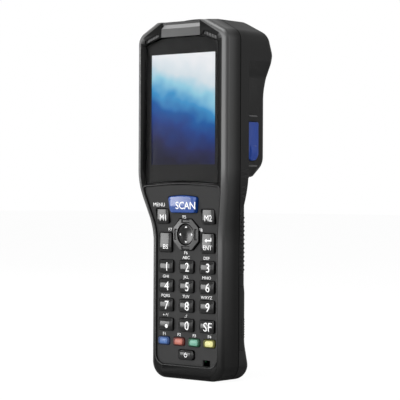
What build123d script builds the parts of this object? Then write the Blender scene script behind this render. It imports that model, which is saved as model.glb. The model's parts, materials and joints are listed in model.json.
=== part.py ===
"""Portable barcode data terminal that stands on its flat lower end.

Millimetres. +Z runs up the terminal, +X is the user's right, the user looks along +Y.
While it is built, depth is counted from the head's front face (y = 0) to the back. The
export moves everything forward by half the depth, so the origin is under the middle.
"""

from build123d import *
import os

# ---- Overall form -------------------------------------------------------------------
height = 189.5
depth = 41.6
head_half_width = 30.5
grip_half_width = 24.2
base_corner_radius = 8.5
shoulder_height = height - 9.7
shoulder_half_width = 16.5
shoulder_drop = 2.1
crown_radius = 80.0
face_crown_radius = 120.0
wall = 1.8
front_wall = 3.4
front_edge_radius = 3.0
back_edge_radius = 4.5
top_back_radius = 9.0
reach = 60.0

# ---- Side form: the grip's front lies behind the head's -----------------------------
grip_front = 5.3
slope_foot_z = 79.0
slope_head_z = 103.0
slope_radius = 60.0
narrow_foot_z = 78.5
narrow_head_z = 102.0
narrow_radius = 60.0
grip_back = 26.2
lid_swell = 0.6
swell_z = 47.8
foot_back = 29.9
foot_peak_z = 7.5
foot_start_z = 19.5
trigger_back = 36.0
step_low_z = 104.9
step_high_z = 112.2
step_low_radius = 9.5
step_high_radius = 8.5
flare_z = height - 40.0
peak_z = height - 19.7
back_lean = 0.384
top_rise = 3.3
seam_head = 12.0
seam_grip = 19.2
seam_radius = 30.0
seam_head_z = 104.0
seam_grip_z = 77.0

# ---- Clearances ---------------------------------------------------------------------
fit = 0.05
gap = 0.2
key_gap = 0.25

# ---- Display ------------------------------------------------------------------------
window_half_width = 25.2
window_bottom = 103.2
window_top = height - 11.1
window_corner_z = window_top - 3.6
screen_half_width = 21.6
screen_bottom = window_bottom + 8.9
screen_height = window_top - 8.7 - screen_bottom
window_corner_half_width = 14.0
window_depth = 0.8
window_thickness = 1.5
gasket_thickness = 0.25
gasket_width = 1.7
lcd_margin = 1.2
lcd_thickness = 1.4
holder_thickness = 1.9

# ---- Indicator lens and sound slots -------------------------------------------------
lens_half_width = 13.2
lens_bottom = window_top + 0.1
lens_break_z = lens_bottom + 4.4
lens_top = lens_break_z + 2.2
lens_facet = 2.05
lens_thickness = 3.0
slot_inner_half_width = 14.6
slot_outer_half_width = 24.4
slot_height = 1.9
slot_rise = 1.5

# ---- Keypad -------------------------------------------------------------------------
panel_depth = 0.9
panel_thickness = 1.0
panel_margin_head = 5.0
panel_margin_grip = 3.7
panel_bottom = 7.5
panel_top = 101.8
panel_corner_radius = 5.0
panel_ledge = 0.6
key_proud = 0.3
key_flange = 0.4
key_flange_thickness = 0.6
key_edge = 0.4
key_travel = 0.6
mat_clearance = 0.15
mat_thickness = 1.0
dome_sheet_thickness = 0.3
key_board_thickness = 1.2
key_column_pitch = 13.95
key_row_pitch = 10.15
first_row_z = 58.9
digit_key = (10.4, 6.6)
side_key = (9.4, 10.3)
side_key_x = 14.4
side_key_z = 71.45
mode_key = (9.2, 7.7)
mode_key_x = 15.5
mode_key_z = 85.25
scan_key_z = 91.9
scan_key_height = 9.6
scan_key_top_half_width = 10.6
scan_key_foot_half_width = 8.5
scan_key_arch = 1.4
ring_z = 75.75
ring_size = (17.2, 16.2)
ring_corner = 4.6
ring_bore_radius = 5.6
cursor_radius = 5.2
ring_thickness = 2.6
pivot_plate = 0.2
ring_pivot_radii = (5.9, 7.2)
cursor_pivot_radii = (1.4, 2.6)
pivot_nub = 0.5
pivot_drop = 0.45
function_key = (7.8, 4.2)
function_key_pitch = 10.3
function_key_z = 19.7
power_key = (10.9, 5.0)
power_key_z = 13.05
key_corner = 1.1

# ---- Strap passage at the lower right corner ----------------------------------------
strap_x = (10.9, 15.9)
strap_z = (7.7, 11.0)
strap_bar = 3.3
strap_depth = 6.8

# ---- Side triggers ------------------------------------------------------------------
scallop_x = 28.8
scallop_front = 19.0
scallop_top = height - 23.5
scallop_foot = 98.0
scallop_low = 109.0
scallop_run = 8.0
scallop_wall = 2.0
trigger_y = (19.4, 28.5)
trigger_z = (114.3, 134.3)
trigger_proud = 0.9
trigger_inner_x = 25.4
trigger_gap = 0.35
trigger_corner_radii = (4.0, 0.8)
trigger_swell_radius = 10.0
trigger_swell_width = 5.0
trigger_swell_sink = 9.3
trigger_swell_rise = 4.5
trigger_pin_radius = 0.75
trigger_pin_x = 26.6
trigger_pin_drop = 1.7
lug_width = 1.8
switch_size = (3.2, 6.0, 6.0)
switch_travel_room = 1.5
shelf_thickness = 2.0

# ---- Battery compartment ------------------------------------------------------------
lid_bottom = 15.5
lid_top = 55.5
lid_front = 19.9
lid_wall = 2.0
well_half_width = 19.2
well_wall = 1.4
well_floor = 14.8
well_floor_thickness = 1.2
well_end_wall = 1.6
battery_height = 35.6
battery_gap = 0.3
contact_block = (14.0, 4.0, 2.4)
lock_bottom = 49.1
lock_back = 24.4
lock_flange = 0.5
lock_flange_thickness = 0.6
lock_travel = 0.6

# ---- Scan engine and its window -----------------------------------------------------
scan_window_half_width = 13.8
scan_window_y = (14.5, 29.5)
scan_window_top = height - 3.2
scan_window_thickness = 1.4
scan_ledge = 2.0
scan_frame_depth = 1.6
engine_size = (22.0, 14.0, 12.0)
engine_z = height - 27.5
engine_y = 23.0
bracket_thickness = 1.0
bracket_flange = 13.0
engine_nose_size = (16.0, 10.0, 3.0)
engine_slot_size = (12.0, 3.0, 2.0)

# ---- Boards and small parts ---------------------------------------------------------
main_board_gap = 0.4
main_board_thickness = 1.2
main_board_half_width = 22.9
main_board_z = (107.6, height - 14.5)
shield_size = (34.0, 2.0)
shield_z = 120.0
shield_under_bracket = 3.0
speaker_size = (10.0, 2.8, 5.6)
speaker_x = 18.4
speaker_z = height - 12.3
motor_radius = 2.0
motor_length = 11.0
motor_x = 14.0
motor_z = 112.0
coin_radius = 6.0
coin_thickness = 1.6
coin_z = 86.0
board_half_width = 19.6
board_tab_half_width = 9.6
board_tab_z = 9.4
board_foot_z = 15.6
board_top = 99.5
pad_pitch = 5.0
pad_size = (2.4, 4.0, 1.6)
pad_count = 4
pad_recess = 0.3
pad_y = 24.0

# ---- Case screws --------------------------------------------------------------------
screw_places = ((25.6, height - 23.5), (25.6, 104.9), (20.2, 12.0))
screw_radius = 1.0
screw_head_radius = 1.8
screw_head_height = 1.2
screw_length = 8.0
boss_radius = 2.4
boss_floor = 2.0
well_radius = 2.1

# ---- Case seal ----------------------------------------------------------------------
seal_inset = (0.6, 1.2)
seal_height = 0.9


def block(x, y, z):
    """A box between two corners, given as three (low, high) pairs."""
    size = [high - low for low, high in (x, y, z)]
    middle = [(high + low) / 2 for low, high in (x, y, z)]
    return Pos(*middle) * Box(*size)


def both_sides(solid):
    """The solid and its mirror image across the middle."""
    return solid + mirror(solid, about=Plane.YZ)


def side_prism(points, radii, half_width=reach):
    """A (y, z) polygon with rounded corners, run across the terminal."""
    outline = FilletPolyline(*points, radius=list(radii), close=True)
    return extrude(Plane.YZ * make_face(outline), amount=half_width, both=True)


def front_prism(sketch, y):
    """A sketch in (x, z), run from the first depth to the second."""
    low, high = y
    return Pos(0, high, 0) * extrude(Plane.XZ * sketch, amount=high - low)


# ---- The outer form -----------------------------------------------------------------
def outline_sketch(inset=0.0):
    """The front view's outline: grip, widening head and sloping shoulders."""
    flanks = [(grip_half_width, narrow_foot_z), (head_half_width, narrow_head_z)]
    return closed_outline(flanks, [narrow_radius, narrow_radius], inset)


def rear_outline_sketch(inset=0.0):
    """The outline behind the finger scallops, which it takes in."""
    flanks = [
        (grip_half_width, scallop_foot),
        (scallop_x, scallop_low),
        (scallop_x, scallop_top - scallop_run),
        (head_half_width, scallop_top),
    ]
    return closed_outline(flanks, [20, 12, 10, 6], inset)


def closed_outline(flanks, flank_radii, inset):
    """An outline with the base's corners, the given flanks and the shoulders."""
    right = [(grip_half_width, 0)] + flanks
    right += [(head_half_width, shoulder_height), (shoulder_half_width, height - shoulder_drop)]
    right_radii = [base_corner_radius] + flank_radii + [7.0, 6.0]
    left = [(-x, z) for x, z in reversed(right)]
    points = right + [(0, height)] + left
    radii = right_radii + [crown_radius] + right_radii[::-1]
    sketch = make_face(FilletPolyline(*points, radius=radii, close=True))
    return offset(sketch, -inset) if inset else sketch


def side_sketch(inset=0.0):
    """The side view's outline, open past the bottom."""
    above = height + 0.2
    below = -8
    lean_y = depth - back_lean * (above - peak_z)
    points = [
        (grip_front, below),
        (grip_front, slope_foot_z),
        (0, slope_head_z),
        (0, above - top_rise),
        (lean_y, above),
        (depth, peak_z),
        (trigger_back, flare_z),
        (trigger_back, step_high_z),
        (grip_back, step_low_z),
        (grip_back, swell_z + 2.2),
        (grip_back + lid_swell, swell_z - 2.2),
        (grip_back + lid_swell, foot_start_z),
        (foot_back, foot_peak_z),
        (foot_back, below),
    ]
    radii = [0, slope_radius, slope_radius, 0, top_back_radius, 6, 25, step_high_radius]
    radii += [step_low_radius, 12, 9, 20, 12, 0]
    sketch = make_face(FilletPolyline(*points, radius=radii, close=True))
    return offset(sketch, -inset) if inset else sketch


def rim_edges(solid):
    """The closed chains where the front and the back meet the outline's wall."""
    kept = []
    for edge in solid.edges():
        tangent = edge.tangent_at(0.5)
        straight = edge.geom_type == GeomType.LINE
        if straight and (abs(tangent.X) > 0.999 or abs(tangent.Y) > 0.999):
            continue
        kept.append(edge)
    return kept


def body_form(inset=0.0):
    """The terminal's form as one solid, moved in by the inset all round."""
    side = extrude(Plane.YZ * side_sketch(inset), amount=reach, both=True)
    front = extrude(Plane.XZ * outline_sketch(inset), amount=reach, both=True) & side
    if inset < front_edge_radius:
        near = grip_front + inset + 0.3
        rim = [edge for edge in rim_edges(front) if edge.center().Y < near]
        front = fillet(rim, front_edge_radius - inset)
    back = extrude(Plane.XZ * rear_outline_sketch(inset), amount=reach, both=True) & side
    far = (grip_front + grip_back) / 2
    rim = [edge for edge in rim_edges(back) if edge.center().Y > far]
    back = fillet(rim, back_edge_radius - inset)
    ledge = scallop_front - inset
    front &= block((-reach, reach), (-reach, ledge), (-reach, height + reach))
    back &= block((-reach, reach), (ledge, reach), (-reach, height + reach))
    return front + back


def front_slab(near, far):
    """A sheet that follows the front's slope, between two depths below it."""

    def curve(shift):
        return [
            (grip_front + shift, -20),
            (grip_front + shift, slope_foot_z),
            (shift, slope_head_z),
            (shift, height + 20),
        ]

    points = curve(near) + curve(far)[::-1]
    radii = [0, slope_radius, slope_radius, 0]
    return side_prism(points, radii + radii)


def seam_prism(low, high):
    """A sheet that follows the seam between the covers, from low to high of it."""

    def curve(shift):
        return [
            (seam_grip + shift, -20),
            (seam_grip + shift, seam_grip_z),
            (seam_head + shift, seam_head_z),
            (seam_head + shift, height + 20),
        ]

    points = curve(low) + curve(high)[::-1]
    radii = [0, seam_radius, seam_radius, 0]
    return side_prism(points, radii + radii)


# ---- Openings of the front ----------------------------------------------------------
def window_sketch(inset=0.0):
    """The display window: arched foot, two slanting upper corners."""
    half = window_half_width
    points = [
        (-half, window_bottom - 1.3),
        (0, window_bottom + 0.5),
        (half, window_bottom - 1.3),
        (half, window_corner_z),
        (window_corner_half_width, window_top),
        (-window_corner_half_width, window_top),
        (-half, window_corner_z),
    ]
    radii = [0.8, face_crown_radius, 0.8, 1.2, 3, 3, 1.2]
    sketch = make_face(FilletPolyline(*points, radius=radii, close=True))
    return offset(sketch, -inset) if inset else sketch


def panel_sketch(inset=0.0):
    """The keypad panel: it narrows with the grip."""
    head = head_half_width - panel_margin_head
    grip = grip_half_width - panel_margin_grip
    right = [
        (grip, panel_bottom),
        (grip, narrow_foot_z),
        (head, narrow_head_z - 4.5),
        (head, panel_top - 1.4),
    ]
    radii = [panel_corner_radius, 40, 6, 0.8]
    left = [(-x, z) for x, z in reversed(right)]
    points = right + [(0, panel_top + 0.4)] + left
    sketch = make_face(FilletPolyline(*points, radius=radii + [face_crown_radius] + radii[::-1], close=True))
    return offset(sketch, -inset) if inset else sketch


def slot_sketch(inset=0.0):
    """One of the two slanting sound slots, on the right."""
    inner, outer = slot_inner_half_width, slot_outer_half_width
    drop = window_top - window_corner_z
    low = window_top + 0.7
    points = [
        (inner, low),
        (outer, low - drop),
        (outer, low - drop + slot_height),
        (inner + 1.2, low + slot_rise),
    ]
    sketch = make_face(FilletPolyline(*points, radius=[0.4] * 4, close=True))
    return offset(sketch, -inset) if inset else sketch


def strap_passage():
    """The strap goes in at the panel's corner and out of the underside."""
    top = strap_z[1]
    back = grip_front + strap_depth
    entry = block(strap_x, (-1, back), strap_z)
    exit_way = block(strap_x, (grip_front + strap_bar, back), (-1, top))
    return entry + exit_way


def seam_at(z):
    """The seam's depth at a screw's height."""
    return seam_head if z > (seam_head_z + seam_grip_z) / 2 else seam_grip


def screw_columns(near, far, radius):
    """Columns that start and end at two distances from the seam."""
    columns = Part()
    for x, z in screw_places:
        seam = seam_at(z)
        column = Rot(90, 0, 0) * Cylinder(radius, far - near)
        for side in (-1, 1):
            columns += Pos(side * x, seam + (near + far) / 2, z) * column
    return columns


# ---- Keys ---------------------------------------------------------------------------
def scan_key_sketch(grow=0.0):
    """The arched key above the ring: wider at its top than at its foot."""
    top = scan_key_top_half_width
    foot = scan_key_foot_half_width
    low = scan_key_z - scan_key_height / 2
    high = low + scan_key_height - scan_key_arch
    points = [(-foot, low), (foot, low), (top, high), (0, high + scan_key_arch), (-top, high)]
    radii = [1.0, 1.0, 1.0, 60, 1.0]
    sketch = make_face(FilletPolyline(*points, radius=radii, close=True))
    return offset(sketch, grow) if grow else sketch


def ring_sketch(grow=0.0):
    """The function ring's octagon."""
    half_x, half_z = ring_size[0] / 2 + grow, ring_size[1] / 2 + grow
    cut = ring_corner
    points = [
        (half_x, half_z - cut),
        (half_x - cut, half_z),
        (cut - half_x, half_z),
        (-half_x, half_z - cut),
        (-half_x, cut - half_z),
        (cut - half_x, -half_z),
        (half_x - cut, -half_z),
        (half_x, cut - half_z),
    ]
    return Pos(0, ring_z) * make_face(FilletPolyline(*points, radius=[0.8] * 8, close=True))


def key_layout():
    """Each pushed key's name with its place and size: x, z, width, height."""
    keys = {}
    names = ["1", "2", "3", "4", "5", "6", "7", "8", "9", "point", "0", "shift"]
    for index, name in enumerate(names):
        row, column = divmod(index, 3)
        x = (column - 1) * key_column_pitch
        z = first_row_z - row * key_row_pitch
        keys[f"key_{name}"] = (x, z, *digit_key)
    keys["back_space_key"] = (-side_key_x, side_key_z, *side_key)
    keys["enter_key"] = (side_key_x, side_key_z, *side_key)
    keys["mode_key_left"] = (-mode_key_x, mode_key_z, *mode_key)
    keys["mode_key_right"] = (mode_key_x, mode_key_z, *mode_key)
    for index in range(4):
        x = (index - 1.5) * function_key_pitch
        keys[f"function_key_{index + 1}"] = (x, function_key_z, *function_key)
    keys["power_key"] = (0, power_key_z, *power_key)
    return keys


def key_sketches(grow=0.0):
    """Every pushed key's outline by name, grown all round."""
    sketches = {}
    for name, (x, z, width, tall) in key_layout().items():
        size = (width + 2 * grow, tall + 2 * grow)
        sketches[name] = Pos(x, z) * RectangleRounded(*size, key_corner + grow)
    sketches["scan_key"] = scan_key_sketch(grow)
    return sketches


def keys():
    """Each key is a cap through the panel with a flange below it."""
    top = -key_proud
    seat = panel_depth + panel_thickness + fit
    caps = front_slab(top, seat)
    flanges = front_slab(seat, seat + key_flange_thickness)
    wide = key_sketches(key_flange)
    parts = {}
    for name, sketch in key_sketches().items():
        cap = front_prism(sketch, (-5, 15)) & caps
        face = cap.faces().sort_by(Axis.Y)[0]
        cap = chamfer(face.edges(), key_edge)
        parts[name] = cap + (front_prism(wide[name], (-5, 15)) & flanges)
    return parts


def ring_and_cursor():
    """The tilting ring, the tilting disc in it, and the pivot plate under each."""
    top = grip_front - key_proud
    foot = top + ring_thickness
    middle = Pos(0, ring_z)
    ring = front_prism(ring_sketch() - middle * Circle(ring_bore_radius), (top, foot))
    face = ring.faces().sort_by(Axis.Y)[0]
    ring = chamfer(face.outer_wire().edges(), key_edge)
    disc = front_prism(middle * Circle(cursor_radius), (top + 0.2, foot))
    dish = Pos(0, top + 0.2 - 24.6, ring_z) * Sphere(25)
    plates = {}
    for name, radii in (("ring", ring_pivot_radii), ("cursor", cursor_pivot_radii)):
        inner, outer = radii
        near = foot + pivot_drop
        plate = front_prism(middle * (Circle(outer) - Circle(inner)), (near, near + pivot_plate))
        nub_z = (inner + outer) / 2
        for side in (-1, 1):
            spot = Pos(0, ring_z + side * nub_z) * Rectangle(pivot_nub, pivot_nub)
            plate += front_prism(spot, (foot + fit, near))
        plates[name] = plate
    return {
        "function_ring": ring,
        "cursor_disc": disc - dish,
        "function_ring_pivot": plates["ring"],
        "cursor_pivot": plates["cursor"],
    }


# ---- Covers -------------------------------------------------------------------------
def front_cover(outer, cavity):
    """The front shell with its window recess, keypad recess, slots and bosses."""
    shell = (outer & seam_prism(-40, 0)) - cavity
    pocket = window_depth + window_thickness + gasket_thickness
    shell -= front_prism(window_sketch(), (-1, pocket))
    shell -= front_prism(window_sketch(gasket_width), (-1, front_wall + 1))
    shell -= front_prism(panel_sketch(), (-5, 15)) & front_slab(-5, panel_depth + panel_thickness)
    shell -= front_prism(panel_sketch(panel_ledge), (-5, grip_front + front_wall + 0.5))
    shell -= front_prism(lens_sketch(gap / 4), (-1, lens_thickness + fit))
    shell -= both_sides(front_prism(slot_sketch(), (-1, front_wall + 0.1)))
    bosses = screw_columns(-8.8, 0, boss_radius) & body_form_inner
    shell += bosses - screw_columns(screw_floor(), 1, screw_radius + fit)
    shell -= strap_passage()
    return shell - seal_ring(0)


def screw_floor():
    """How far before the seam a screw's tip lies, with a little air."""
    return boss_floor - screw_length - 0.4


def lens_sketch(grow=0.0):
    """The indicator lens seen from the front."""
    half = lens_half_width + grow
    points = [(-half, lens_bottom - grow), (half, lens_bottom - grow), (half - 0.7, height + 5)]
    return make_face(Polyline(*points, (0.7 - half, height + 5), close=True))


def seal_ring(shrink):
    """The seal's ring in the wall, half in each cover."""
    outer_inset, inner_inset = seal_inset
    ring = outline_sketch(outer_inset + shrink) - outline_sketch(inner_inset - shrink)
    half = seal_height / 2 - shrink
    return front_prism(ring, (-5, depth + 5)) & seam_prism(-half, half)


def trigger_outline(grow, x):
    """The right trigger's side view, round at its foot, grown and run along x."""
    y_low, y_high = trigger_y[0] - grow, trigger_y[1] + grow
    z_low, z_high = trigger_z[0] - grow, trigger_z[1] + grow
    points = [(y_low, z_low), (y_high, z_low), (y_high, z_high), (y_low, z_high)]
    foot, top = trigger_corner_radii
    radii = [foot + grow, foot + grow, top + grow, top + grow]
    return side_prism(points, radii) & block(x, (0, depth), (0, height))


def trigger_room(grow):
    """The space of the right trigger's cap, grown all round."""
    return trigger_outline(grow, (trigger_inner_x - grow, head_half_width + 2))


def trigger_pin():
    """The pin that the right trigger turns on."""
    y = (trigger_y[0] - trigger_gap - lug_width, trigger_y[1] + trigger_gap + lug_width)
    pin = Rot(90, 0, 0) * Cylinder(trigger_pin_radius, y[1] - y[0])
    return Pos(trigger_pin_x, sum(y) / 2, trigger_z[1] - trigger_pin_drop) * pin


def trigger_mount():
    """Thick wall, pin lugs and switch shelf of the right trigger."""
    inner_x = scallop_x - scallop_wall
    z_low, z_high = trigger_z
    mount = block((inner_x, reach), (scallop_front - 1.4, depth), (step_low_z, scallop_top + 1.5))
    pin_z = z_high - trigger_pin_drop
    for near in (trigger_y[0] - trigger_gap - lug_width, trigger_y[1] + trigger_gap):
        lug_z = (pin_z - 2, pin_z + 2.2)
        mount += block((trigger_pin_x - 2, reach), (near, near + lug_width), lug_z)
    shelf_top = z_low - 0.4
    shelf_x = (inner_x - switch_travel_room - switch_size[0] - 4, reach)
    middle = sum(trigger_y) / 2
    half = switch_size[1] / 2 + 0.5
    mount += block(shelf_x, (middle - half, middle + half), (shelf_top - shelf_thickness, shelf_top))
    return mount


def battery_well():
    """The well for the battery with its webs and bulkheads, and the room in it."""
    x = well_half_width + well_wall
    z = (lid_bottom - well_end_wall + gap, lid_top + well_end_wall - gap)
    well = block((-x, x), (well_floor - well_floor_thickness, depth), z)
    web_y = (seam_grip, lid_front + 0.7)
    well += block((-reach, reach), web_y, z)
    well += block((-reach, reach), (web_y[0], depth), (z[0], lid_bottom))
    well += block((-reach, reach), (web_y[0], depth), (lid_top, z[1]))
    room_z = (lid_bottom + gap, lid_top - gap)
    room = block((-well_half_width, well_half_width), (well_floor, depth), room_z)
    return well, room


def lock_room(grow):
    """The space of the right lock button's cap in the lid's side wall."""
    y = (lid_front + gap - grow, lock_back + grow)
    z = (lock_bottom - grow, lid_top - gap + grow)
    return block((grip_half_width - lid_wall, reach), y, z)


def lock_flange_room(grow, travel=0.0):
    """The space of the right lock button's flange, inside the lid's wall."""
    x = grip_half_width - lid_wall
    y = (lid_front + 0.9 - grow, lock_back + lock_flange + grow)
    z = (lock_bottom - lock_flange - grow, lid_top - gap + grow)
    return block((x - lock_flange_thickness - travel - grow, x), y, z)


def scan_frame():
    """The frame under the top wall that carries the scan window."""
    half = scan_window_half_width + scan_ledge
    y = (scan_window_y[0] - scan_ledge, scan_window_y[1] + scan_ledge)
    foot = scan_window_top - scan_window_thickness - scan_frame_depth
    return block((-half, half), y, (foot, height - shoulder_drop))


def scan_opening():
    """The scan window's pocket and the light's way through its frame."""
    half = scan_window_half_width + gap
    y = (scan_window_y[0] - gap, scan_window_y[1] + gap)
    seat = scan_window_top - scan_window_thickness
    pocket = block((-half, half), y, (seat, height + 2))
    half -= scan_ledge
    y = (y[0] + scan_ledge, y[1] - scan_ledge)
    return pocket + block((-half, half), y, (seat - 10, height + 2))


def rear_cover(outer, cavity):
    """The rear shell with scan head, trigger flats, battery well and foot."""
    well, battery_room = battery_well()
    kept = both_sides(trigger_mount()) + scan_frame() + well
    kept += screw_columns(0.3, 30, boss_radius + 0.9)
    shell = (outer & seam_prism(0, 60)) - (cavity - kept)
    shell -= battery_room
    shell -= block((-reach, reach), (lid_front, reach), (lid_bottom, lid_top)) - form_under_lid
    shell -= both_sides(trigger_room(trigger_gap))
    shell -= both_sides(trigger_pin_hole())
    shell -= both_sides(lock_relief())
    shell -= scan_opening()
    shell -= screw_columns(boss_floor, 60, well_radius)
    shell -= screw_columns(-1, 60, screw_radius + 0.15)
    shell -= contact_slots()
    return shell - seal_ring(0)


def lock_relief():
    """Where the rear cover makes way for the pressed lock button."""
    x = (well_half_width + well_wall, grip_half_width - lid_wall + fit)
    z = (lock_bottom - lock_flange - gap, lid_top)
    return block(x, (lid_front, reach), z)


def trigger_pin_hole():
    y = (trigger_y[0] - trigger_gap - lug_width, trigger_y[1] + trigger_gap + lug_width)
    hole = Rot(90, 0, 0) * Cylinder(trigger_pin_radius + fit / 2, y[1] - y[0] + 0.2)
    return Pos(trigger_pin_x, sum(y) / 2, trigger_z[1] - trigger_pin_drop) * hole


def contact_slots():
    """The slots in the underside for the charging contacts."""
    slots = Part()
    for index in range(pad_count):
        x = (index - (pad_count - 1) / 2) * pad_pitch
        width, deep, _ = pad_size
        slots += block((x - width / 2, x + width / 2), (pad_y - deep / 2, pad_y + deep / 2), (-1, wall + 1))
    return slots


def battery_cover(outer):
    """The lid over the battery: it lifts off to the back."""
    z = (lid_bottom + gap, lid_top - gap)
    layer = outer & block((-reach, reach), (lid_front + gap, reach), z)
    return layer - body_form_lid - both_sides(lock_room(gap) + lock_flange_room(gap, lock_travel))


# ---- Pieces inside ------------------------------------------------------------------
def display_parts():
    """Window, gasket, panel and holder, from front to back."""
    glass_back = window_depth + window_thickness
    seat = glass_back + gasket_thickness
    window = front_prism(window_sketch(gap / 2), (window_depth, glass_back))
    gasket_ring = window_sketch(gap / 2) - window_sketch(gasket_width)
    gasket = front_prism(gasket_ring, (glass_back, seat))
    half = screen_half_width + lcd_margin
    z = (screen_bottom - 2 * lcd_margin, screen_bottom + screen_height + lcd_margin)
    panel = block((-half, half), (seat + fit, seat + fit + lcd_thickness), z)
    back = seat + 2 * fit + lcd_thickness
    rim = 0.4
    holder = block((-half - rim, half + rim), (back - 0.5, back + holder_thickness), (z[0] - 1, z[1] + 1))
    clear = block((-half - fit, half + fit), (0, back), (z[0] - fit, z[1] + fit))
    return {
        "display_window": window,
        "window_gasket": gasket,
        "lcd_panel": panel,
        "display_holder": holder - clear,
    }


def holder_back():
    return window_depth + window_thickness + gasket_thickness + 2 * fit + lcd_thickness + holder_thickness


def indicator_lens():
    """The light bar over the window, with a slanting upper face."""
    points = [
        (0, lens_bottom),
        (0, lens_break_z),
        (lens_facet, lens_top),
        (lens_thickness, lens_top),
        (lens_thickness, lens_bottom),
    ]
    bar = side_prism(points, [0, 0.3, 0.3, 0, 0], lens_half_width + 1)
    return bar & front_prism(lens_sketch(-gap / 4), (-1, lens_thickness + 1))


def slot_grilles():
    """A ribbed insert in each sound slot."""
    insert = front_prism(slot_sketch(fit), (0.9, 2.4))
    for index in range(5):
        x = slot_inner_half_width + 1.6 + index * 1.75
        insert -= block((x, x + 0.6), (0, 1.6), (window_corner_z - 2, height))
    return both_sides(insert)


def board_sketch():
    """The keyboard's outline: narrow at the foot, between the screw bosses."""
    main_height = board_top - board_foot_z
    main = Pos(0, board_foot_z + main_height / 2) * Rectangle(2 * board_half_width, main_height)
    tab_height = board_foot_z - board_tab_z
    tab = Pos(0, board_tab_z + tab_height / 2) * Rectangle(2 * board_tab_half_width, tab_height)
    return main + tab


def board_front():
    """Depth of the key mat's flat back."""
    mat = panel_depth + panel_thickness + fit + key_flange_thickness + key_travel + mat_clearance
    return grip_front + mat + mat_thickness


def keypad_parts():
    """Panel, mat, dome sheet and board under the keys."""
    panel = front_prism(panel_sketch(gap / 2), (-5, 15))
    panel &= front_slab(panel_depth, panel_depth + panel_thickness)
    holes = [front_prism(sketch, (-5, 15)) for sketch in key_sketches(key_gap).values()]
    holes.append(front_prism(ring_sketch(key_gap + 0.1), (-5, 15)))
    for hole in holes:
        panel -= hole
    panel -= strap_passage()
    back = board_front()
    mat_near = back - mat_thickness - grip_front
    mat = front_prism(board_sketch(), (-5, back)) & front_slab(mat_near, 30)
    mat -= front_prism(ring_sketch(key_gap + 0.5), (-5, back - mat_thickness + 0.4))
    sheet = front_prism(board_sketch(), (back, back + dome_sheet_thickness))
    near = back + dome_sheet_thickness
    board = front_prism(board_sketch(), (near, near + key_board_thickness))
    return {"keypad_panel": panel, "key_mat": mat, "dome_sheet": sheet, "key_board": board}


def scan_parts():
    """Engine, its bracket and the window over it."""
    half = scan_window_half_width
    seat = scan_window_top - scan_window_thickness
    window = block((-half, half), scan_window_y, (seat + fit, scan_window_top))
    width, deep, tall = engine_size
    engine = Pos(0, engine_y, engine_z + tall / 2) * Box(width, deep, tall)
    nose = Pos(0, engine_y, engine_z + tall) * Box(*engine_nose_size)
    slot = Pos(0, engine_y, engine_z + tall + 1.5) * Box(*engine_slot_size)
    board_back = main_board_back()
    shelf_y = (board_back + fit, engine_y + deep / 2 + 1)
    shelf_z = (engine_z - fit - bracket_thickness, engine_z - fit)
    shelf = block((-width / 2 - 1, width / 2 + 1), shelf_y, shelf_z)
    flange_y = (board_back + fit, board_back + fit + bracket_thickness)
    flange_z = (engine_z - bracket_flange, engine_z)
    flange = block((-width / 2 - 1, width / 2 + 1), flange_y, flange_z)
    return {
        "scan_window": window,
        "scan_engine": engine + nose - slot,
        "engine_bracket": shelf + flange,
    }


def main_board_back():
    return holder_back() + main_board_gap + main_board_thickness


def electronics():
    """Main board, shield, speaker, motor and coin cell."""
    near = holder_back() + main_board_gap
    back = main_board_back()
    half = main_board_half_width
    board = block((-half, half), (near, back), main_board_z)
    width, deep = shield_size
    shield_top = engine_z - bracket_flange - shield_under_bracket
    shield_y = (back + fit, back + fit + deep)
    shield = block((-width / 2, width / 2), shield_y, (shield_z, shield_top))
    hollow_z = (shield_z + 0.4, shield_top - 0.4)
    shield -= block((0.4 - width / 2, width / 2 - 0.4), (0, shield_y[1] - 0.4), hollow_z)
    wide, thick, high = speaker_size
    speaker_y = (front_wall + fit, front_wall + fit + thick)
    speaker_span = (-speaker_x - wide / 2, wide / 2 - speaker_x)
    speaker = block(speaker_span, speaker_y, (speaker_z - high / 2, speaker_z + high / 2))
    motor = Rot(0, 90, 0) * Cylinder(motor_radius, motor_length)
    motor = Pos(motor_x, back + fit + motor_radius, motor_z) * motor
    coin_y = board_front() + dome_sheet_thickness + key_board_thickness + fit
    coin = Rot(90, 0, 0) * Cylinder(coin_radius, coin_thickness)
    coin = Pos(0, coin_y + coin_thickness / 2, coin_z) * coin
    return {
        "main_board": board,
        "shield_can": shield,
        "speaker": speaker,
        "vibration_motor": motor,
        "coin_cell": coin,
    }


def battery_parts():
    """The pack in its well and the contact block above it."""
    low = lid_bottom + gap + battery_gap
    top = lid_top - gap
    half = well_half_width - battery_gap
    rim = grip_back - lid_wall - fit
    pack_y = (well_floor + battery_gap, rim - battery_gap)
    pack = block((-half, half), pack_y, (low, low + battery_height))
    pack = fillet(pack.edges().filter_by(Axis.Z), 1.5)
    width, deep, tall = contact_block
    contacts_y = (well_floor + fit, well_floor + fit + deep)
    contacts = block((-width / 2, width / 2), contacts_y, (top - fit - tall, top - fit))
    for index in range(3):
        x = (index - 1) * 4.0
        low_z = low + battery_height + fit
        contacts += block((x - 0.8, x + 0.8), (well_floor + 1, well_floor + 3), (low_z, top - tall))
    return {"battery_pack": pack, "battery_contacts": contacts}


def lock_button(outer):
    """The right lock button: a cap flush with the lid's side, a flange inside."""
    return (lock_room(0) & outer) + lock_flange_room(0)


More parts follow.
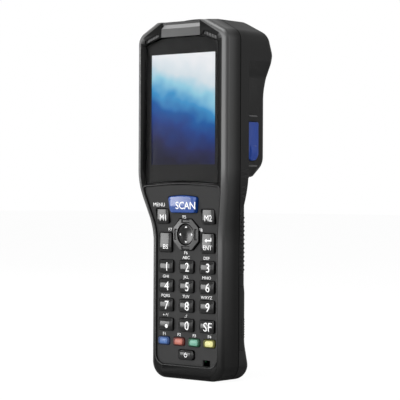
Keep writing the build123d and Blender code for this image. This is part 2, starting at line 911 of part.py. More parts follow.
def trigger():
    """The right trigger: it turns on its pin, and its lower end goes in."""
    face_x = scallop_x + trigger_proud
    cap = trigger_outline(0, (trigger_inner_x, face_x))
    outer_face = cap.faces().sort_by(Axis.X)[-1]
    cap = chamfer(outer_face.edges(), 0.5)
    barrel = Cylinder(trigger_swell_radius, trigger_swell_width, rotation=(90, 0, 0))
    swell_middle = (face_x - trigger_swell_sink, sum(trigger_y) / 2, trigger_z[0] + trigger_swell_rise)
    inside_y = (trigger_y[0] + 0.8, trigger_y[1] - 0.8)
    inside_z = (trigger_z[0] + 0.8, trigger_z[0] + 2 * trigger_swell_rise)
    swell = Pos(*swell_middle) * barrel & block((trigger_inner_x + 1, face_x + 2), inside_y, inside_z)
    hole = Rot(90, 0, 0) * Cylinder(trigger_pin_radius + fit, reach)
    pin_z = trigger_z[1] - trigger_pin_drop
    return cap + swell - Pos(trigger_pin_x, sum(trigger_y) / 2, pin_z) * hole


def trigger_switch():
    """The switch behind the right trigger's lower end, on its shelf."""
    deep, wide, tall = switch_size
    inner_x = trigger_inner_x - switch_travel_room
    middle = sum(trigger_y) / 2
    low = trigger_z[0] - 0.4 + fit
    box = block((inner_x - deep, inner_x - 0.8), (middle - wide / 2, middle + wide / 2), (low, low + tall))
    plunger = Pos(inner_x - 0.6, middle, low + tall / 2) * (Rot(0, 90, 0) * Cylinder(1.2, 1.2))
    return box + plunger


def screws():
    """Six equal case screws, driven in from the back."""
    head = screw_columns(boss_floor + fit, boss_floor + screw_head_height, screw_head_radius)
    shank = screw_columns(boss_floor - screw_length, boss_floor + fit, screw_radius)
    slots = Part()
    for x, z in screw_places:
        y = seam_at(z) + boss_floor + screw_head_height
        for side in (-1, 1):
            slots += Pos(side * x, y, z) * (Box(2.2, 1.0, 0.5) + Box(0.5, 1.0, 2.2))
    return head + shank - slots


def dock_contacts():
    """The row of charging contacts in the underside."""
    pads = Part()
    width, deep, tall = pad_size
    for index in range(pad_count):
        x = (index - (pad_count - 1) / 2) * pad_pitch
        low = pad_recess
        pads += block(
            (x - width / 2 + fit, x + width / 2 - fit),
            (pad_y - deep / 2 + fit, pad_y + deep / 2 - fit),
            (low, low + tall),
        )
    return pads


outer_form = body_form()
body_form_inner = body_form(wall)
body_form_lid = body_form(lid_wall)
form_under_lid = body_form(lid_wall + fit)
inner_room = body_form_inner - front_slab(-20, front_wall)

parts = {
    "front_cover": front_cover(outer_form, inner_room),
    "rear_cover": rear_cover(outer_form, inner_room),
    "case_seal": seal_ring(fit / 2),
    "indicator_lens": indicator_lens(),
    "slot_grilles": slot_grilles(),
    "battery_cover": battery_cover(outer_form),
    "case_screws": screws(),
    "dock_contacts": dock_contacts(),
    "trigger_pins": both_sides(trigger_pin()),
    "trigger_switches": both_sides(trigger_switch()),
}
parts |= display_parts() | keypad_parts() | scan_parts() | electronics() | battery_parts()
parts |= keys() | ring_and_cursor()
right_lock = lock_button(outer_form)
right_trigger = trigger()
parts["lock_button_right"] = right_lock
parts["lock_button_left"] = mirror(right_lock, about=Plane.YZ)
parts["trigger_right"] = right_trigger
parts["trigger_left"] = mirror(right_trigger, about=Plane.YZ)

os.makedirs("parts", exist_ok=True)
for name, part in parts.items():
    export_step(Pos(0, -depth / 2, 0) * part, f"parts/{name}.step")
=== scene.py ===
import json
import math
import bpy
import bmesh
import numpy as np
from mathutils import Matrix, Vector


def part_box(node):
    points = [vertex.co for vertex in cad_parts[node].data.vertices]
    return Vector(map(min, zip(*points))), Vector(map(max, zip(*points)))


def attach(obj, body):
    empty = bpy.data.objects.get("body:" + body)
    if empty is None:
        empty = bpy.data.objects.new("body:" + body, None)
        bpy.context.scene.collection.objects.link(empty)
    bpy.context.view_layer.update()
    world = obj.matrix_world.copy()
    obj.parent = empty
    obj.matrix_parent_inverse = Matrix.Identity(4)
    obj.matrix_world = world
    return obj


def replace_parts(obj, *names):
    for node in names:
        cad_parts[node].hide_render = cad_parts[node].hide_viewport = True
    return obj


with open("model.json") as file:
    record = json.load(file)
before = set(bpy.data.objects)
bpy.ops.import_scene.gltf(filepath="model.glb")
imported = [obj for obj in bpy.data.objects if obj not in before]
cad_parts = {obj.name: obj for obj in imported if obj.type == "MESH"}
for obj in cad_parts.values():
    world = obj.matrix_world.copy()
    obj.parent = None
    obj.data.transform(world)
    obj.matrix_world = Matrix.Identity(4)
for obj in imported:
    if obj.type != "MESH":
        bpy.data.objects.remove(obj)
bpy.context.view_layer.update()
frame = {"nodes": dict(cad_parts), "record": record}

# ---- Camera and light --------------------------------
# A long lens at the height of the terminal's middle, to its right and nearly level.
# Soft boxes stand before it, low at its left, above it and behind each side. The world
# is soft grey light, and the terminal stands on a pale table.
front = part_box("front_cover")[0][1]


def to_metres(x, y, z):
    """Millimetres across, back from the head's front face and up, to the shared frame."""
    x, y, z = np.broadcast_arrays(x, y, z)
    return np.stack([x * 0.001, y * 0.001 + front, z * 0.001], axis=-1)


def add_camera(aim, distance, turn_deg, pitch_deg, roll_deg, lens_mm):
    """Looks at a point from a distance, both in millimetres; turned right, tipped down
    and rolled. Its axes are the view direction and the two at right angles to it."""
    turn, pitch, roll = (math.radians(a) for a in (turn_deg, pitch_deg, roll_deg))
    ahead = np.array([-math.sin(turn) * math.cos(pitch), math.cos(turn) * math.cos(pitch), -math.sin(pitch)])
    right = np.array([math.cos(turn), math.sin(turn), 0.0])
    up = np.cross(right, ahead)
    across = math.cos(roll) * right - math.sin(roll) * up
    upward = math.sin(roll) * right + math.cos(roll) * up
    place = to_metres(*aim) - ahead * distance * 0.001
    data = bpy.data.cameras.new("camera")
    data.lens = lens_mm
    data.sensor_width = 36
    data.clip_end = 50
    camera = bpy.data.objects.new("camera", data)
    bpy.context.scene.collection.objects.link(camera)
    rows = np.column_stack([across, upward, -ahead, place]).tolist()
    camera.matrix_world = Matrix(rows + [[0, 0, 0, 1]])
    bpy.context.scene.camera = camera


add_camera(
    aim=(-2.966, 20.0, 93.7), distance=869.2, turn_deg=39.853, pitch_deg=0.215, roll_deg=-0.278, lens_mm=148.0
)
bpy.context.scene.view_settings.view_transform = "Standard"


def add_soft_box(name, place, target, size, watts):
    """A rectangular soft box that faces its target; all lengths in metres."""
    data = bpy.data.lights.new(name, "AREA")
    data.shape = "RECTANGLE"
    data.size, data.size_y = size
    data.energy = watts
    lamp = bpy.data.objects.new(name, data)
    bpy.context.scene.collection.objects.link(lamp)
    away = np.array(place) - np.array(target)
    away /= np.linalg.norm(away)
    side = np.cross([0, 0, 1], away)
    side /= np.linalg.norm(side)
    columns = np.column_stack([side, np.cross(away, side), away, place])
    lamp.matrix_world = Matrix(columns.tolist() + [[0, 0, 0, 1]])


middle = (0, 0, 0.1)
add_soft_box("soft_box_front", (0.21, -1.18, 0.42), middle, (1.9, 0.8), 14)
add_soft_box("soft_box_keys", (-0.919, -0.771, 0.14), middle, (0.3, 0.32), 3.4)
add_soft_box("soft_box_top", (0.0, -0.3, 1.15), middle, (0.9, 0.6), 7)
add_soft_box("soft_box_left", (-1.1, 0.4, 0.35), middle, (0.4, 0.9), 1.5)
add_soft_box("soft_box_right", (1.0, 0.75, 0.4), middle, (0.4, 0.8), 3.2)


def linear(code):
    """An sRGB hex colour as linear red, green, blue and 1."""
    value = np.array([int(code[i:i + 2], 16) / 255 for i in (0, 2, 4)])
    low = value / 12.92
    high = ((value + 0.055) / 1.055) ** 2.4
    return (*np.where(value <= 0.04045, low, high), 1.0)


def add_node(tree, kind, sockets=(), **settings):
    """Adds a node; sockets maps an input to a value or to a (node, output) link."""
    node = tree.nodes.new(kind)
    for key, value in settings.items():
        setattr(node, key, value)
    for key, value in dict(sockets).items():
        if isinstance(value, tuple) and len(value) == 2 and hasattr(value[0], "outputs"):
            tree.links.new(value[0].outputs[value[1]], node.inputs[key])
        else:
            node.inputs[key].default_value = value
    return node


def new_material(name):
    """An empty node material, and its tree."""
    material = bpy.data.materials.new(name)
    material.use_nodes = True
    material.node_tree.nodes.clear()
    return material, material.node_tree


def add_white_surround():
    """The world is soft grey light, and plain white where it is looked at or mirrored."""
    world = bpy.data.worlds.new("studio")
    world.use_nodes = True
    tree = world.node_tree
    tree.nodes.clear()
    path = add_node(tree, "ShaderNodeLightPath")
    seen = add_node(
        tree, "ShaderNodeMath", {0: (path, "Is Camera Ray"), 1: (path, "Is Transmission Ray")},
        operation="MAXIMUM",
    )
    seen = add_node(tree, "ShaderNodeMath", {0: (seen, 0), 1: (path, "Is Glossy Ray")}, operation="MAXIMUM")
    soft = add_node(tree, "ShaderNodeBackground", {"Color": linear("ffffff"), "Strength": 0.18})
    white = add_node(tree, "ShaderNodeBackground", {"Color": linear("ffffff"), "Strength": 1.0})
    mixed = add_node(tree, "ShaderNodeMixShader", {0: (seen, 0), 1: (soft, 0), 2: (white, 0)})
    add_node(tree, "ShaderNodeOutputWorld", {"Surface": (mixed, 0)})
    bpy.context.scene.world = world


add_white_surround()


def add_floor():
    """A pale table top: nearly white to the eye, and it keeps a faint shadow."""
    material, tree = new_material("pale_table")
    path = add_node(tree, "ShaderNodeLightPath")
    share = add_node(tree, "ShaderNodeMath", {0: (path, "Is Camera Ray"), 1: 0.9}, operation="MULTIPLY")
    grain = add_node(tree, "ShaderNodeTexNoise", {"Scale": 60.0})
    rough = add_node(tree, "ShaderNodeMapRange", {"Value": (grain, 0), "To Min": 0.55, "To Max": 0.65})
    paint = add_node(
        tree, "ShaderNodeBsdfPrincipled", {"Base Color": linear("f4f4f4"), "Roughness": (rough, 0)}
    )
    glow = add_node(tree, "ShaderNodeEmission", {"Color": linear("ffffff"), "Strength": 1.05})
    mixed = add_node(tree, "ShaderNodeMixShader", {0: (share, 0), 1: (paint, 0), 2: (glow, 0)})
    add_node(tree, "ShaderNodeOutputMaterial", {"Surface": (mixed, 0)})
    mesh = bpy.data.meshes.new("floor")
    reach = 6.0
    corners = [(-reach, -reach, 0), (reach, -reach, 0), (reach, reach, 0), (-reach, reach, 0)]
    mesh.from_pydata(corners, [], [(0, 1, 2, 3)])
    floor = bpy.data.objects.new("floor", mesh)
    mesh.materials.append(material)
    bpy.context.scene.collection.objects.link(floor)


add_floor()

# ---- Front cover -------------------------------------
# The front shell is injection-moulded PC-ABS, black, with a fine spark-eroded grain.
# It carries the window, the keys and the boards, and screws to the rear cover.


def moulded(name, colour, roughness, ior=1.45, grain_mm=0.35, grain_depth_mm=0.012, mottle=0.06):
    """Moulded plastic: faint mottling of its shade and a pebbled grain of a given size,
    which is drawn coarser than the real one where it has to show."""
    material, tree = new_material(name)
    place = add_node(tree, "ShaderNodeTexCoord")
    grain = add_node(
        tree, "ShaderNodeTexNoise", {"Vector": (place, "Object"), "Scale": 1000 / grain_mm, "Detail": 1.5}
    )
    cloud_mm = 11.1
    cloud = add_node(
        tree, "ShaderNodeTexNoise", {"Vector": (place, "Object"), "Scale": 1000 / cloud_mm, "Detail": 3.0}
    )
    shade = add_node(
        tree, "ShaderNodeMapRange", {"Value": (cloud, 0), "To Min": 1 - mottle, "To Max": 1 + mottle}
    )
    tint = add_node(
        tree, "ShaderNodeMix", {0: 1.0, 6: linear(colour), 7: (shade, 0)},
        data_type="RGBA", blend_type="MULTIPLY",
    )
    matt = add_node(
        tree, "ShaderNodeMapRange",
        {"Value": (cloud, 0), "To Min": roughness - 0.04, "To Max": roughness + 0.04},
    )
    bump = add_node(
        tree, "ShaderNodeBump", {"Height": (grain, 0), "Strength": 1.0, "Distance": grain_depth_mm / 1000}
    )
    shader = add_node(
        tree, "ShaderNodeBsdfPrincipled",
        {"Base Color": (tint, 2), "Roughness": (matt, 0), "Normal": (bump, 0), "IOR": ior},
    )
    add_node(tree, "ShaderNodeOutputMaterial", {"Surface": (shader, 0)})
    return material


def finish_mesh(name, mesh, body, material, sharp_deg=35):
    """Makes an object of the mesh: smooth but for its sharp edges, riding on its body."""
    mesh.polygons.foreach_set("use_smooth", np.ones(len(mesh.polygons), bool))
    mesh.set_sharp_from_angle(angle=math.radians(sharp_deg))
    mesh.materials.clear()
    mesh.materials.append(material)
    piece = bpy.data.objects.new(name, mesh)
    bpy.context.scene.collection.objects.link(piece)
    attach(piece, body)
    return piece


body_of = {node: body for body, nodes in frame["record"]["behaviour"]["bodies"].items() for node in nodes}


def dressed_copy(node, material):
    """A merged copy of a CAD solid, shaded smoothly with the larger faces leading."""
    copy = bmesh.new()
    copy.from_mesh(frame["nodes"][node].data)
    bmesh.ops.remove_doubles(copy, verts=copy.verts, dist=1e-6)
    bmesh.ops.dissolve_degenerate(copy, edges=copy.edges, dist=1e-6)
    mesh = bpy.data.meshes.new(node + "_skin")
    copy.to_mesh(mesh)
    copy.free()
    piece = finish_mesh(node + "_skin", mesh, body_of[node], material, 28)
    weighted = piece.modifiers.new("even_shading", "WEIGHTED_NORMAL")
    weighted.keep_sharp = True
    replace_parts(piece, node)
    return piece


def dress(material, *nodes):
    """Gives CAD solids, which keep their shape, a material."""
    for node in nodes:
        for place in frame["nodes"][node].material_slots:
            place.material = material


def rub_edges(material, grip_front_mm, head_front_mm):
    """Adds the sheen that hands rub on the edges rounded towards the front. Its weight is
    the product of four shares: how far a face turns to the front, how near the front it
    lies, whether it faces out of the case, and how high it lies on the grip."""
    tree = material.node_tree
    shader = tree.nodes["Principled BSDF"]
    place = add_node(tree, "ShaderNodeTexCoord")
    facing = add_node(tree, "ShaderNodeSeparateXYZ", {0: (place, "Normal")})
    point = add_node(tree, "ShaderNodeSeparateXYZ", {0: (place, "Object")})
    turned = add_node(
        tree, "ShaderNodeMapRange",
        {"Value": (facing, "Y"), "From Min": -0.05, "From Max": -0.75, "To Min": 0.3},
    )
    plane = add_node(
        tree, "ShaderNodeMapRange",
        {
            "Value": (point, "Z"), "From Min": 0.075, "From Max": 0.105,
            "To Min": front + grip_front_mm / 1000, "To Max": front + head_front_mm / 1000,
        },
    )
    depth = add_node(tree, "ShaderNodeMath", {0: (point, "Y"), 1: (plane, 0)}, operation="SUBTRACT")
    near = add_node(
        tree, "ShaderNodeMapRange",
        {"Value": (depth, 0), "From Min": 0.0025, "From Max": 0.0115, "To Min": 1.0, "To Max": 0.0},
        interpolation_type="SMOOTHSTEP",
    )
    high = add_node(
        tree, "ShaderNodeMapRange",
        {"Value": (point, "Z"), "From Min": 0.15, "From Max": 0.19, "To Max": 0.04},
    )
    sideways = add_node(tree, "ShaderNodeMath", {0: (point, "X"), 1: (facing, "X")}, operation="MULTIPLY")
    upwards = add_node(tree, "ShaderNodeMath", {0: (high, 0), 1: (facing, "Z")}, operation="MULTIPLY")
    outwards = add_node(tree, "ShaderNodeMath", {0: (sideways, 0), 1: (upwards, 0)})
    outer = add_node(tree, "ShaderNodeMapRange", {"Value": (outwards, 0), "From Max": 0.002})
    raised = add_node(
        tree, "ShaderNodeMapRange",
        {"Value": (point, "Z"), "From Min": 0.01, "From Max": 0.095, "To Min": 0.1},
    )
    weight = turned
    for share in (near, outer, raised):
        weight = add_node(tree, "ShaderNodeMath", {0: (weight, 0), 1: (share, 0)}, operation="MULTIPLY")
    tree.links.new(weight.outputs[0], shader.inputs["Coat Weight"])
    shader.inputs["Coat Roughness"].default_value = 0.38
    shader.inputs["Coat IOR"].default_value = 1.8


# Spark-eroded PC-ABS: nearly black, its grain breaking the light up into a dull haze.
cover_plastic = moulded("black_pc_abs_fine_grain", "080808", 0.4, ior=1.16)
rub_edges(cover_plastic, grip_front_mm=5.3, head_front_mm=0.0)
dressed_copy("front_cover", cover_plastic)

# ---- Rear cover, battery cover and lock buttons ------
# The rear shell is moulded of the same plastic, and holds the triggers and the battery.
# The battery cover and the two lock buttons in it are moulded to match it.

# A coarser spark-eroded grain: it scatters more light, and looks a shade greyer.
grip_plastic = moulded(
    "black_pc_abs_coarse_grain", "101010", 0.5, ior=1.21, grain_mm=0.5, grain_depth_mm=0.02
)
for node in ("rear_cover", "battery_cover", "lock_button_left", "lock_button_right"):
    dressed_copy(node, grip_plastic)

# ---- Case seal and window gasket ---------------------
# A silicone cord in the joint of the two shells, and a flat gasket under the window.
# Both are squeezed between the parts that they seal, and next to nothing shows.

# Silicone rubber: dull, and darker than the plastic beside it.
seal_silicone = moulded("black_silicone_cord", "040404", 0.8, ior=1.08, grain_mm=0.6)
dress(seal_silicone, "case_seal", "window_gasket")

# ---- Liquid-crystal panel ----------------------------
# A lit colour panel behind the window. Its picture is a plain start screen, with soft
# cloud over a blue that deepens to its foot.
screen_z = (112.1, 169.7)
screen_half_width = 21.6


def lit_picture():
    """A glowing panel, with hardly any mirror of its own. Its colours go by height,
    shifted by a broad noise and by the place across."""
    material, tree = new_material("lit_colour_panel")
    place = add_node(tree, "ShaderNodeTexCoord")
    axes = add_node(tree, "ShaderNodeSeparateXYZ", {0: (place, "Object")})
    height = add_node(
        tree, "ShaderNodeMapRange",
        {"Value": (axes, "Z"), "From Min": screen_z[0] / 1000, "From Max": screen_z[1] / 1000},
    )
    half_width = screen_half_width / 1000
    across = add_node(
        tree, "ShaderNodeMapRange",
        {"Value": (axes, "X"), "From Min": -half_width, "From Max": half_width, "To Max": 0.2},
    )
    cloud_mm = 18.2
    cloud = add_node(
        tree, "ShaderNodeTexNoise", {"Vector": (place, "Object"), "Scale": 1000 / cloud_mm, "Detail": 2.0}
    )
    drift = add_node(tree, "ShaderNodeMapRange", {"Value": (cloud, 0), "To Min": -0.3, "To Max": 0.1})
    level = add_node(tree, "ShaderNodeMath", {0: (height, 0), 1: (across, 0)})
    level = add_node(tree, "ShaderNodeMath", {0: (level, 0), 1: (drift, 0)})
    ramp = add_node(tree, "ShaderNodeValToRGB", {"Fac": (level, 0)})
    stops = {
        0.0: "14152b", 0.17: "1b2152", 0.32: "16387f", 0.45: "11559f",
        0.57: "3b8fc6", 0.68: "8fc9de", 0.8: "d3dfe6", 1.0: "eceef1",
    }
    bands = ramp.color_ramp.elements
    while len(bands) < len(stops):
        bands.new(0.5)
    for band, (at, code) in zip(bands, stops.items()):
        band.position = at
        band.color = linear(code)
    shader = add_node(
        tree, "ShaderNodeBsdfPrincipled",
        {
            "Base Color": linear("050505"), "Roughness": 0.3, "IOR": 1.15,
            "Emission Color": (ramp, 0), "Emission Strength": 0.97,
        },
    )
    add_node(tree, "ShaderNodeOutputMaterial", {"Surface": (shader, 0)})
    return material


dress(lit_picture(), "lcd_panel")

# ---- Display window ----------------------------------
# Clear polycarbonate with a hard coat against glare, stuck on its gasket.
# Its border is printed black on the back.


def clear_sheet(name, tint, roughness, ior):
    """Clear plastic, tinted through, with a trace of haze."""
    material, tree = new_material(name)
    place = add_node(tree, "ShaderNodeTexCoord")
    haze_mm = 25
    haze = add_node(tree, "ShaderNodeTexNoise", {"Vector": (place, "Object"), "Scale": 1000 / haze_mm})
    rough = add_node(
        tree, "ShaderNodeMapRange", {"Value": (haze, 0), "To Min": roughness, "To Max": roughness + 0.02}
    )
    shader = add_node(
        tree, "ShaderNodeBsdfPrincipled",
        {"Base Color": linear(tint), "Roughness": (rough, 0), "IOR": ior, "Transmission Weight": 1.0},
    )
    add_node(tree, "ShaderNodeOutputMaterial", {"Surface": (shader, 0)})
    return material


# The coat takes the mirror off the sheet, so it shows what is behind it and little else.
dress(clear_sheet("coated_clear_polycarbonate", "ffffff", 0.02, 1.0), "display_window")


def grid_faces(rows, columns, wrap):
    """Quads between neighbouring rows and columns; wrap joins the last column to the first."""
    across = columns if wrap else columns - 1
    r, c = np.meshgrid(np.arange(rows - 1), np.arange(across), indexing="ij")
    a = r * columns + c
    b = r * columns + (c + 1) % columns
    return np.stack([a, b, b + columns, a + columns], axis=-1).reshape(-1, 4)


def surface(name, grids, body, material, wrap=True, poles=True, sharp_deg=35):
    """A mesh from (rows, columns, 3) grids in metres; poles closes each grid's two ends."""
    verts, faces, base = [], [], 0
    for points in grids:
        rows, columns, _ = points.shape
        verts.append(points.reshape(-1, 3))
        faces.append(grid_faces(rows, columns, wrap) + base)
        if poles:
            verts.append(np.stack([points[0].mean(axis=0), points[-1].mean(axis=0)]))
            here = np.arange(columns)
            after = (here + 1) % columns
            tip = rows * columns
            last = (rows - 1) * columns
            faces.append(np.column_stack([after, here, np.full((columns, 2), tip)]) + base)
            faces.append(np.column_stack([here + last, after + last, np.full((columns, 2), tip + 1)]) + base)
            base += 2
        base += rows * columns
    quads = np.concatenate(faces)
    loops = [row[:3] if row[2] == row[3] else row for row in quads.tolist()]
    return closed_mesh(name, np.concatenate(verts), loops, body, material, sharp_deg)


def closed_mesh(name, verts, faces, body, material, sharp_deg=35):
    """A mesh of closed shells: doubles merged, then every face turned outwards."""
    mesh = bpy.data.meshes.new(name)
    mesh.from_pydata(verts.tolist(), [], faces)
    fixed = bmesh.new()
    fixed.from_mesh(mesh)
    bmesh.ops.remove_doubles(fixed, verts=fixed.verts, dist=1e-7)
    bmesh.ops.recalc_face_normals(fixed, faces=fixed.faces)
    fixed.to_mesh(mesh)
    fixed.free()
    return finish_mesh(name, mesh, body, material, sharp_deg)


def rounded_outline(corners, radius, steps=6):
    """Points round a convex polygon, each corner replaced by an arc of the radius."""
    corners = np.array(corners, float)
    before = np.roll(corners, 1, axis=0) - corners
    after = np.roll(corners, -1, axis=0) - corners
    before /= np.linalg.norm(before, axis=1, keepdims=True)
    after /= np.linalg.norm(after, axis=1, keepdims=True)
    half = np.arccos(np.clip((before * after).sum(axis=1), -1, 1)) / 2
    radius = np.broadcast_to(np.asarray(radius, float), half.shape)
    bisector = before + after
    bisector /= np.linalg.norm(bisector, axis=1, keepdims=True)
    centre = corners + bisector * (radius / np.sin(half))[:, None]
    start = corners + before * (radius / np.tan(half))[:, None] - centre
    end = corners + after * (radius / np.tan(half))[:, None] - centre
    first = np.arctan2(start[:, 1], start[:, 0])
    sweep = np.arctan2(end[:, 1], end[:, 0]) - first
    sweep = (sweep + np.pi) % (2 * np.pi) - np.pi
    angle = first[:, None] + sweep[:, None] * np.linspace(0, 1, steps)
    x = centre[:, :1] + radius[:, None] * np.cos(angle)
    z = centre[:, 1:] + radius[:, None] * np.sin(angle)
    return np.stack([x, z], axis=-1).reshape(-1, 2)


def mirrored(right_side):
    """Corners of a shape that is the same on both sides, from those on the right."""
    right_side = list(right_side)
    return right_side + [(-x, z) for x, z in reversed(right_side) if x]


window_corners = mirrored([(0, 103.75), (12, 103.35), (25.15, 102.0), (25.15, 174.8), (14.0, 178.35)])
border = rounded_outline(window_corners, [60, 0.8, 0.8, 1.2, 3, 3, 1.2, 0.8, 0.8])
# The opening has as many corners as the window, so that the two outlines pair up point
# by point. The extra ones stand a hair off the straight, so that each has a bisector.
hair = 0.001
low, high = screen_z
opening_corners = mirrored(
    [(0, low), (12, low - hair), (screen_half_width, low), (screen_half_width, high), (12, high + hair)]
)
opening = rounded_outline(opening_corners, 0.3)
print_y = (2.14, 2.26)
print_rings = [(border, print_y[0]), (opening, print_y[0]), (opening, print_y[1]), (border, print_y[1])]
print_rings.append(print_rings[0])
print_grid = np.stack([to_metres(ring[:, 0], y, ring[:, 1]) for ring, y in print_rings])
# Screen-printed ink seen through the sheet: an even, deep grey.
window_print = moulded("black_screen_print", "141414", 0.35, ior=1.15, grain_mm=0.8, grain_depth_mm=0.001)
surface("window_print", [print_grid], body_of["display_window"], window_print, poles=False)

# ---- Indicator lens and sound slots ------------------
# The light bar is smoke-tinted acrylic; the ribbed inserts beside it are grey plastic.
# Both are pushed into the cover from behind and held by its bosses.


def paint_light_by_facing(material, axis, low, high, colours):
    """Paints light and shade into the base colour by the way a face points along an axis."""
    tree = material.node_tree
    place = add_node(tree, "ShaderNodeTexCoord")
    facing = add_node(tree, "ShaderNodeSeparateXYZ", {0: (place, "Normal")})
    share = add_node(tree, "ShaderNodeMapRange", {"Value": (facing, axis), "From Min": low, "From Max": high})
    tint = add_node(
        tree, "ShaderNodeMix", {0: (share, 0), 6: linear(colours[0]), 7: linear(colours[1])}, data_type="RGBA"
    )
    tree.links.new(tint.outputs[2], tree.nodes["Principled BSDF"].inputs["Base Color"])


# Smoke-tinted acrylic; its sloping top is painted lighter than its front, as painted light from above.
smoke_acrylic_painted_light = moulded("smoke_acrylic_painted_light", "505050", 0.22, ior=1.35, grain_mm=1.5, grain_depth_mm=0.002)
paint_light_by_facing(smoke_acrylic_painted_light, "Z", 0.2, 0.5, ("4a4a4a", "868686"))
dressed_copy("indicator_lens", smoke_acrylic_painted_light)
# Plain grey ABS: satin, so that its ribs stand out against the black.
insert_plastic = moulded("grey_abs_insert", "4a4a4a", 0.4, ior=1.4)
dressed_copy("slot_grilles", insert_plastic)

# ---- Keypad panel ------------------------------------
# A dark grey moulded plate with the legends printed on it, snapped in round the keys.
# The cover's edge stands round it as a thin polished bead.
grip_sink = 5.3
slope_foot_z, slope_head_z = 79.0, 103.0
slope_radius = 60.0
slope_fall = grip_sink / (slope_head_z - slope_foot_z)
slope_angle = math.atan(slope_fall)
arc_reach = slope_radius * math.tan(slope_angle / 2)


def slope(z):
    """Depth of the face: flat grip, arc, straight slope, arc, flat head. The arcs touch
    the flats, and have left them by r - sqrt(r2 - d2) at a distance d from there."""
    z = np.asarray(z, float)
    foot_touch, head_touch = slope_foot_z - arc_reach, slope_head_z + arc_reach
    foot_arc, head_arc = (
        slope_radius - np.sqrt(np.clip(slope_radius ** 2 - (z - touch) ** 2, 0, None))
        for touch in (foot_touch, head_touch)
    )
    end = arc_reach * math.cos(slope_angle)
    bands = [z < foot_touch, z < slope_foot_z + end, z < slope_head_z - end, z < head_touch]
    straight = grip_sink - slope_fall * (z - slope_foot_z)
    return np.select(bands, [grip_sink, grip_sink - foot_arc, straight, head_arc], 0.0)


# Spark-eroded ABS: an even dark grey that hardly mirrors.
panel_plastic = moulded("dark_grey_abs_panel", "333333", 0.5, ior=1.18, grain_mm=0.4, grain_depth_mm=0.016)
dressed_copy("keypad_panel", panel_plastic)
panel_corners = mirrored([(0, 102.2), (25.5, 100.4), (25.5, 97.5), (20.5, 78.5), (20.5, 7.5)])


def densified(outline, step):
    """The closed outline at equal steps of length, all its points joined by lines."""
    closed = np.concatenate([outline, outline[:1]])
    along = np.concatenate([[0], np.cumsum(np.linalg.norm(np.diff(closed, axis=0), axis=1))])
    at = np.linspace(0, along[-1], max(int(along[-1] / step), 8), endpoint=False)
    return np.column_stack([np.interp(at, along, closed[:, i]) for i in (0, 1)])


def outward(outline):
    """Unit normals of a closed outline, from its neighbours, pointing out of it."""
    tangent = np.roll(outline, -1, axis=0) - np.roll(outline, 1, axis=0)
    tangent /= np.linalg.norm(tangent, axis=1, keepdims=True)
    area = (outline[:, 0] * np.roll(outline[:, 1], -1) - outline[:, 1] * np.roll(outline[:, 0], -1)).sum()
    return np.sign(area) * np.column_stack([tangent[:, 1], -tangent[:, 0]])


def bead_round(outline, depth, shift, half_width, rise, sink, steps=13):
    """An oval bead on a face along an outline: across it by cos, out of the face by sin.
    Its middle is shifted out of the outline; it rises out of the face and sinks into it."""
    turn = np.linspace(0, 2 * np.pi, steps)
    normal = outward(outline)
    off = shift + half_width * np.cos(turn)
    place = outline[None] + normal[None] * off[:, None, None]
    lift = np.where(np.sin(turn) > 0, rise, sink) * np.sin(turn)
    y = depth(place[..., 1]) - lift[:, None]
    return to_metres(place[..., 0], y, place[..., 1])


panel_outline = densified(rounded_outline(panel_corners, [120, 0.8, 6, 40, 5, 5, 40, 6, 0.8], 12), 0.8)
# Polished ABS: a narrow edge that shows as a thin light line.
rim_plastic = moulded("polished_abs_rim", "1c1c1c", 0.25, ior=1.42, grain_mm=1.0, grain_depth_mm=0.002)
rim_grid = bead_round(panel_outline, slope, shift=0.42, half_width=0.34, rise=0.26, sink=0.3)
surface("keypad_rim", [rim_grid], "case", rim_plastic, poles=False)

# ---- Printed legends of the panel --------------------
# Small letters over the keys, pad-printed in white. The ink is drawn 0.06 mm thick,
# thicker than it is, so that it stands clear of the plastic.
half_ink = 0.03
cap_height = 0.73


def letters(text, place, tall, depth, wide=1.0, weight=0.0, slices=0):
    """Built-in type as a thin shell: (u, w, t) goes to (x + u, depth(x, z) - t, z + w). The
    capitals are cap_height high at size 1. Level cuts, slices of them, let the type bend."""
    curve = bpy.data.curves.new("type", "FONT")
    curve.body = text
    curve.resolution_u = 3
    curve.offset = weight
    curve.extrude = 0.02
    holder = bpy.data.objects.new("type", curve)
    drawn = bmesh.new()
    drawn.from_mesh(bpy.data.meshes.new_from_object(holder))
    bmesh.ops.remove_doubles(drawn, verts=drawn.verts, dist=1e-5)
    for cut in np.linspace(0, cap_height, slices + 2)[1:-1]:
        geometry = drawn.verts[:] + drawn.edges[:] + drawn.faces[:]
        bmesh.ops.bisect_plane(drawn, geom=geometry, plane_co=(0, cut, 0), plane_no=(0, 1, 0))
    points = np.array([v.co[:] for v in drawn.verts])
    drawn.verts.index_update()
    faces = [[v.index for v in face.verts] for face in drawn.faces]
    drawn.free()
    scale = tall / cap_height
    middle = (points[:, 0].max() + points[:, 0].min()) / 2
    x = place[0] + (points[:, 0] - middle) * scale * wide
    z = place[1] + (points[:, 1] - cap_height / 2) * scale
    y = depth(x, z) - half_ink * np.sign(points[:, 2])
    return to_metres(x, y, z), faces


def plate(outline, place, depth):
    """A flat sign as thick as the ink, from one outline, laid on the face at its place."""
    outline = np.array(outline, float) + place
    x, z = outline.T
    front_side, back_side = (to_metres(x, depth(x, z) - t, z) for t in (half_ink, -half_ink))
    count = len(outline)
    here = np.arange(count)
    after = (here + 1) % count
    sides = np.column_stack([here, after, after + count, here + count]).tolist()
    faces = [here.tolist(), (here[::-1] + count).tolist()] + sides
    return np.concatenate([front_side, back_side]), faces


def printed(name, signs, body, material):
    """Several signs as one mesh."""
    verts, faces, base = [], [], 0
    for points, loops in signs:
        verts.append(points)
        faces += [[i + base for i in loop] for loop in loops]
        base += len(points)
    return closed_mesh(name, np.concatenate(verts), faces, body, material, 30)


